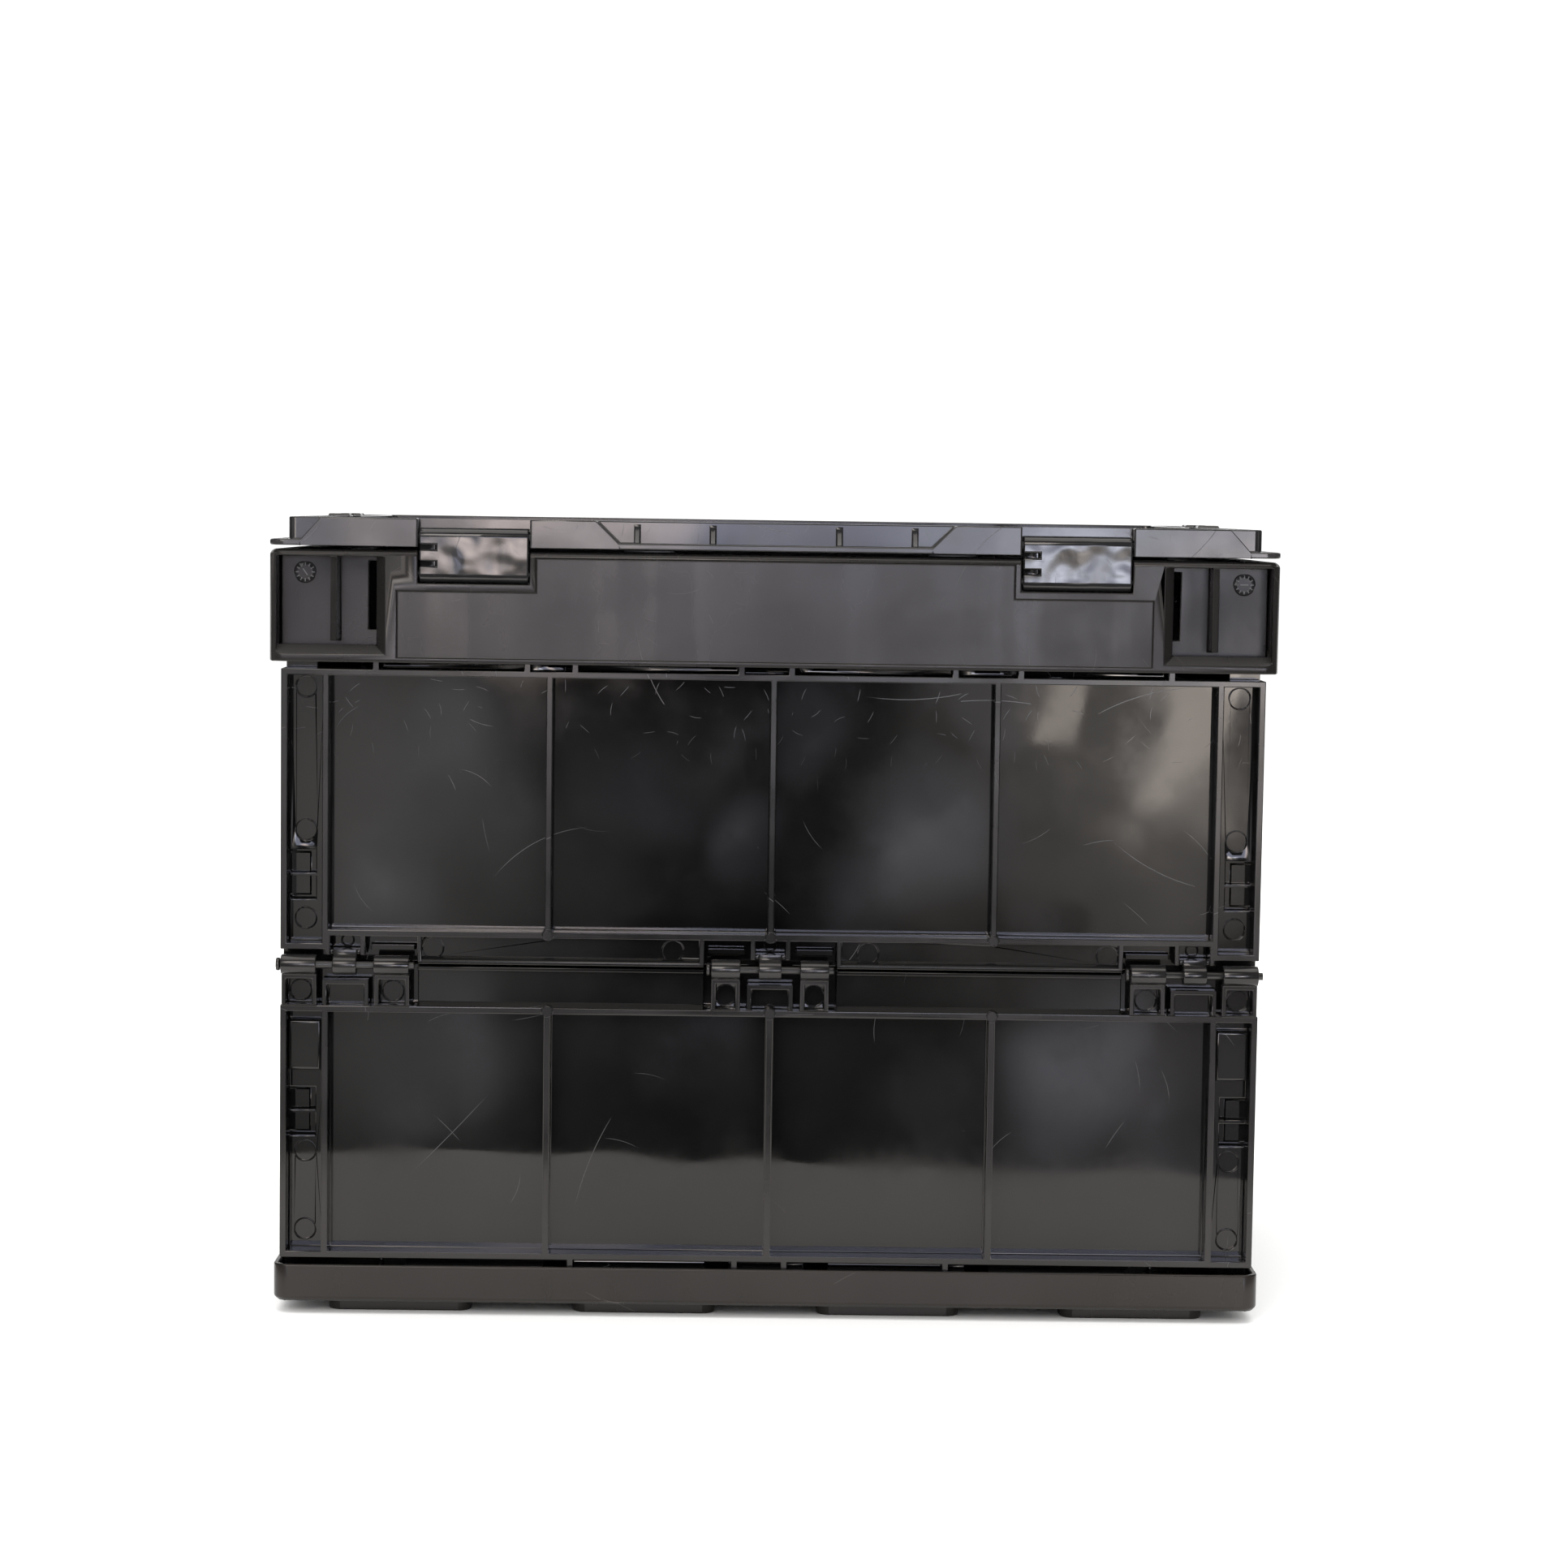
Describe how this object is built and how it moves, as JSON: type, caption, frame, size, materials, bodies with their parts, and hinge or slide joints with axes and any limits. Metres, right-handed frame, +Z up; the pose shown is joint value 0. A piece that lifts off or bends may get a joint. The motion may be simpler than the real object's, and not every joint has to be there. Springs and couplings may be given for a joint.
{
  "type": "folding attached lid tote",
  "caption": "Folding plastic tote with mid-hinged long walls, swing-up end walls and a two-flap lid on double-pivot links.",
  "frame": {"origin": "centre of the footprint, on the surface the tote stands on", "axes": "+X along the long side, +Y towards the rear long wall, +Z up"},
  "size_m": [0.4, 0.3, 0.32],
  "materials": {
    "satin_black": "satin moulded polypropylene",
    "base_black": "satin moulded polypropylene, scuffed by floors",
    "panel_black": "gloss moulded polypropylene, lightly scuffed",
    "lid_black": "satin moulded polypropylene",
    "gloss_black": "gloss moulded polypropylene",
    "hinge_rod": "blackened steel rod",
    "link_pin": "blackened steel pin"
  },
  "bodies": {
    "crate": {"base_tray": "base_black", "top_frame": "satin_black", "front_lower_wall": "panel_black", "front_upper_wall": "panel_black", "front_fold_rods": "hinge_rod", "rear_lower_wall": "panel_black", "rear_upper_wall": "panel_black", "rear_fold_rods": "hinge_rod", "front_frame_link_pins": "link_pin", "rear_frame_link_pins": "link_pin"},
    "left_end_wall": {"left_end_wall": "panel_black"},
    "right_end_wall": {"right_end_wall": "panel_black"},
    "front_left_link": {"front_left_link": "gloss_black"},
    "front_right_link": {"front_right_link": "gloss_black"},
    "rear_left_link": {"rear_left_link": "gloss_black"},
    "rear_right_link": {"rear_right_link": "gloss_black"},
    "front_lid": {"front_lid": "lid_black", "front_lid_link_pins": "link_pin"},
    "rear_lid": {"rear_lid": "lid_black", "rear_lid_link_pins": "link_pin"}
  },
  "joints": [
    {"name": "left_end_swing", "type": "hinge", "parent": "crate", "child": "left_end_wall", "pos_m": [-0.18905, 0, 0.296], "axis": [0, -1, 0], "range_deg": [0, 90]},
    {"name": "right_end_swing", "type": "hinge", "parent": "crate", "child": "right_end_wall", "pos_m": [0.18905, 0, 0.2825], "axis": [0, 1, 0], "range_deg": [0, 90]},
    {"name": "front_link_swing", "type": "hinge", "parent": "crate", "child": "front_left_link", "pos_m": [-0.11915, -0.1462, 0.2972], "axis": [1, 0, 0], "range_deg": [0, 90]},
    {"name": "front_lid_swing", "type": "hinge", "parent": "front_left_link", "child": "front_lid", "pos_m": [-0.11915, -0.1462, 0.3118], "axis": [1, 0, 0], "range_deg": [0, 180]},
    {"name": "front_right_link_swing", "type": "hinge", "parent": "crate", "child": "front_right_link", "pos_m": [0.11915, -0.1462, 0.2972], "axis": [1, 0, 0], "range_deg": [0, 90]},
    {"name": "rear_link_swing", "type": "hinge", "parent": "crate", "child": "rear_left_link", "pos_m": [-0.11915, 0.1462, 0.2972], "axis": [-1, 0, 0], "range_deg": [0, 90]},
    {"name": "rear_lid_swing", "type": "hinge", "parent": "rear_left_link", "child": "rear_lid", "pos_m": [-0.11915, 0.1462, 0.3118], "axis": [-1, 0, 0], "range_deg": [0, 180]},
    {"name": "rear_right_link_swing", "type": "hinge", "parent": "crate", "child": "rear_right_link", "pos_m": [0.11915, 0.1462, 0.2972], "axis": [-1, 0, 0], "range_deg": [0, 90]}
  ],
  "couplings": [
    {"joint": "front_lid_swing", "follows": "front_link_swing", "ratio": 2},
    {"joint": "front_right_link_swing", "follows": "front_link_swing", "ratio": 1},
    {"joint": "rear_lid_swing", "follows": "rear_link_swing", "ratio": 2},
    {"joint": "rear_right_link_swing", "follows": "rear_link_swing", "ratio": 1}
  ]
}
